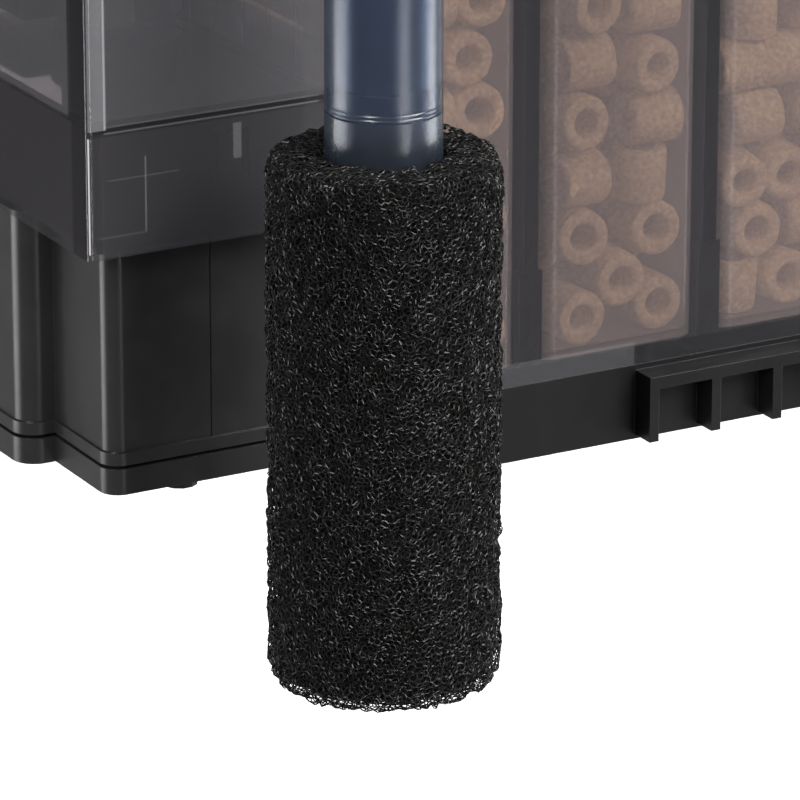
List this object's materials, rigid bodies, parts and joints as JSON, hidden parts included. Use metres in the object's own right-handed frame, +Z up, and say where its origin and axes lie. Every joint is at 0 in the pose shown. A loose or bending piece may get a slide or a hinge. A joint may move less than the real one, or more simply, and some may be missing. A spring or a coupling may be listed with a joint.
{
  "type": "hang-on-back aquarium filter",
  "caption": "Smoky clear hang-on aquarium filter with a pump bay, media cartridges of ceramic rings, and a telescopic intake tube with a black foam sleeve.",
  "frame": {"origin": "middle of the flat face under the hook that rests on the tank's rim", "axes": "+Z up, +X right along the tank-side face, -Y towards the tank, so the media tank is behind the rim at +Y"},
  "size_m": [0.21, 0.1843, 0.2229],
  "materials": {
    "smoky_acrylic": "gloss",
    "black_plastic": "satin",
    "clear_plastic": "gloss",
    "blue_tint_plastic": "gloss",
    "white_plastic": "satin",
    "black_foam": "matte",
    "black_rubber": "matte",
    "media_ceramic": "matte",
    "shaft_ceramic": "polished",
    "magnet": "matte",
    "core_steel": "satin",
    "copper_winding": "satin",
    "screw_steel": "satin"
  },
  "bodies": {
    "root": {"housing": "smoky_acrylic", "base_tray": "black_plastic", "motor_base": "black_plastic", "motor_cover": "black_plastic", "motor_base_cap": "black_plastic", "base_cap_screws": "screw_steel", "base_feet": "black_rubber", "cable_gland": "black_rubber", "rotor_well": "black_plastic", "well_gasket": "black_rubber", "lower_bearing": "black_rubber", "upper_bearing": "black_rubber", "impeller_shaft": "shaft_ceramic", "impeller_cover": "black_plastic", "stator_core": "core_steel", "stator_coils": "copper_winding", "down_pipe": "blue_tint_plastic", "intake_elbow": "blue_tint_plastic", "tube_seal": "black_rubber", "divider_1": "black_plastic", "divider_2": "black_plastic"},
    "lid": {"lid": "smoky_acrylic"},
    "impeller": {"impeller": "white_plastic", "rotor_magnet": "magnet"},
    "flow_lever": {"flow_lever": "black_plastic", "flow_valve": "white_plastic"},
    "intake_tube": {"intake_tube": "blue_tint_plastic", "strainer": "blue_tint_plastic"},
    "prefilter_sponge": {"prefilter_sponge": "black_foam"},
    "cartridge_1": {"cartridge_1": "clear_plastic", "ceramic_rings_1": "media_ceramic"},
    "cartridge_2": {"cartridge_2": "clear_plastic", "ceramic_rings_2": "media_ceramic"},
    "cartridge_3": {"cartridge_3": "clear_plastic", "ceramic_rings_3": "media_ceramic"}
  },
  "joints": [
    {"name": "lid_lift", "type": "slide", "parent": "root", "child": "lid", "axis": [0, 0, 1], "range_m": [0, 0.2]},
    {"name": "impeller_spin", "type": "hinge", "parent": "root", "child": "impeller", "pos_m": [-0.05605, 0.094, -0.06], "axis": [0, 0, 1], "continuous": true},
    {"name": "flow_lever_turn", "type": "hinge", "parent": "root", "child": "flow_lever", "pos_m": [-0.05605, -0.002, 0.031], "axis": [0, 0, -1], "range_deg": [0, 90]},
    {"name": "tube_extend", "type": "slide", "parent": "root", "child": "intake_tube", "axis": [0, 0, -1], "range_m": [0, 0.04]},
    {"name": "sponge_pull", "type": "slide", "parent": "intake_tube", "child": "prefilter_sponge", "axis": [0, 0, -1], "range_m": [0, 0.11]},
    {"name": "cartridge_1_lift", "type": "slide", "parent": "root", "child": "cartridge_1", "axis": [0, 0, 1], "range_m": [0, 0.16]},
    {"name": "cartridge_2_lift", "type": "slide", "parent": "root", "child": "cartridge_2", "axis": [0, 0, 1], "range_m": [0, 0.16]},
    {"name": "cartridge_3_lift", "type": "slide", "parent": "root", "child": "cartridge_3", "axis": [0, 0, 1], "range_m": [0, 0.16]}
  ],
  "couplings": [
    {"joint": "cartridge_1_lift", "follows": "lid_lift", "ratio": 0.8},
    {"joint": "cartridge_2_lift", "follows": "lid_lift", "ratio": 0.8},
    {"joint": "cartridge_3_lift", "follows": "lid_lift", "ratio": 0.8}
  ]
}
